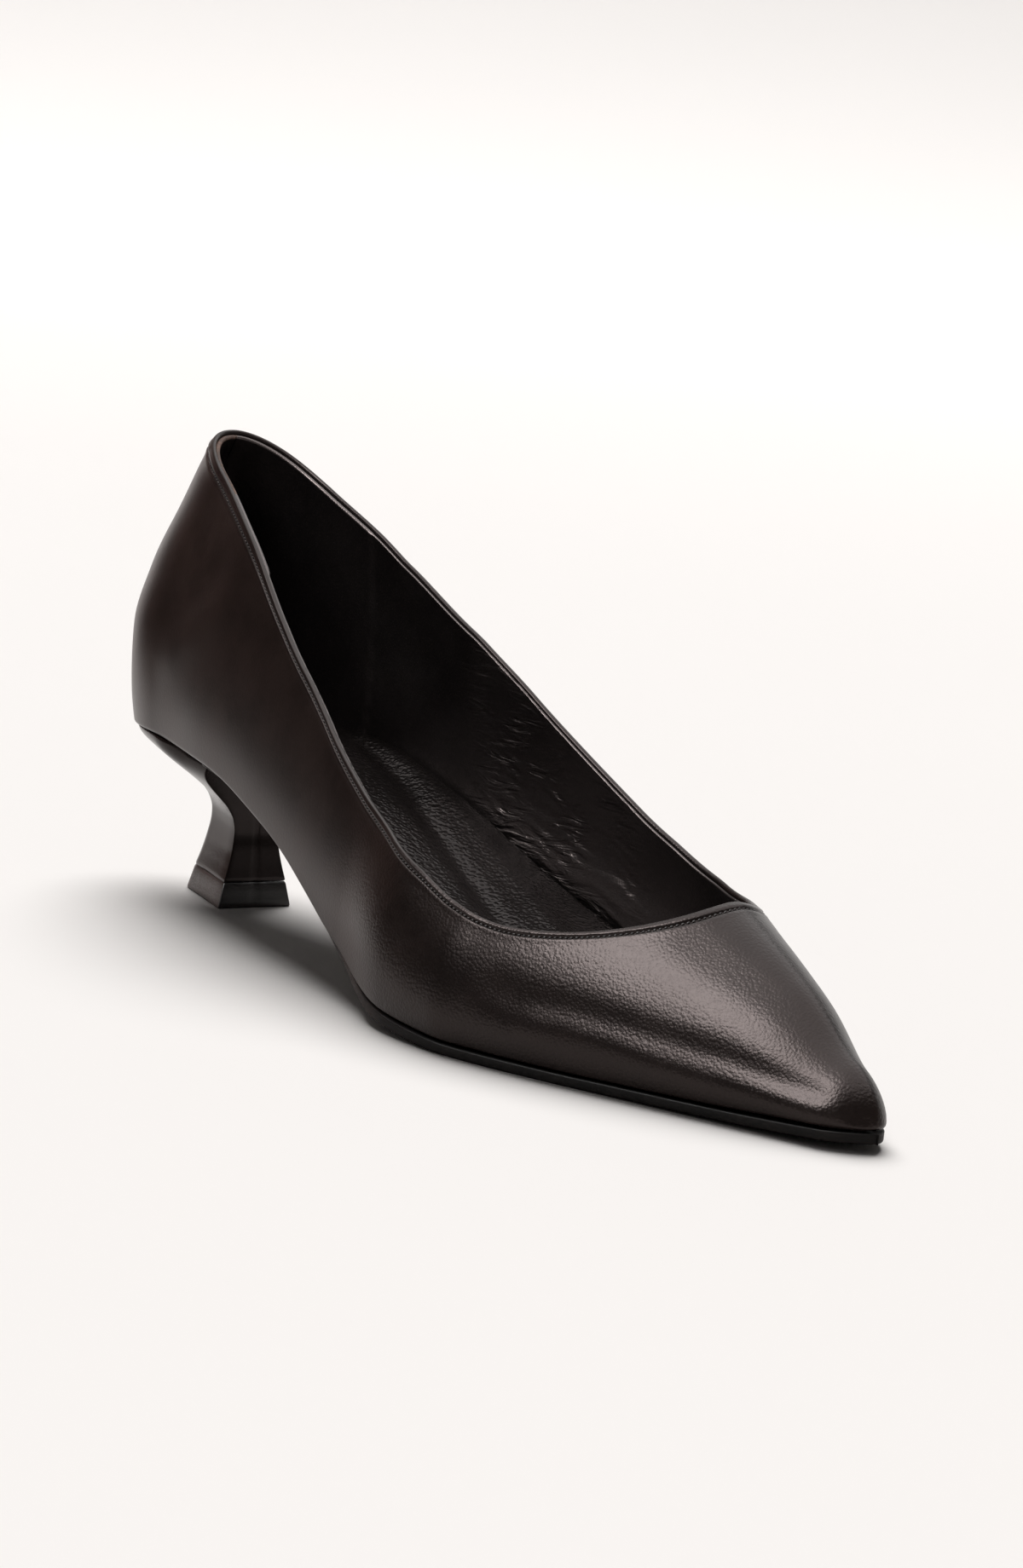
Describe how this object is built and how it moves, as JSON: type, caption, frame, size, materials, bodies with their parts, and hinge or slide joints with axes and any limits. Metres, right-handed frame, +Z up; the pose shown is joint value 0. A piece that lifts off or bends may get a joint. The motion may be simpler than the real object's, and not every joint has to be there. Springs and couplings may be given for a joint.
{
  "type": "kitten-heel pump",
  "caption": "Women's pointed-toe leather pump with an open collar, a low-cut vamp, a thin leather sole and a low flared spool heel.",
  "frame": {"origin": "on the floor under the middle of the shoe's box", "axes": "+X to the toe, +Y to the wearer's left (the inner side of this right shoe), +Z up"},
  "size_m": [0.2554, 0.0778, 0.101],
  "materials": {
    "upper_leather": "very dark brown nappa, fine pebble grain, satin",
    "insole_board": "raw cellulose board",
    "sock_leather": "black pebbled leather over a thin pad",
    "sole_leather": "dark stained leather with a slightly rough edge",
    "heel_cover": "smooth glossy leather cover",
    "heel_rubber": "dense dark rubber, satin"
  },
  "bodies": {
    "root": {"upper": "upper_leather", "insole": "insole_board", "sock": "sock_leather", "outsole": "sole_leather", "heel": "heel_cover", "top_piece": "heel_rubber"}
  },
  "joints": []
}
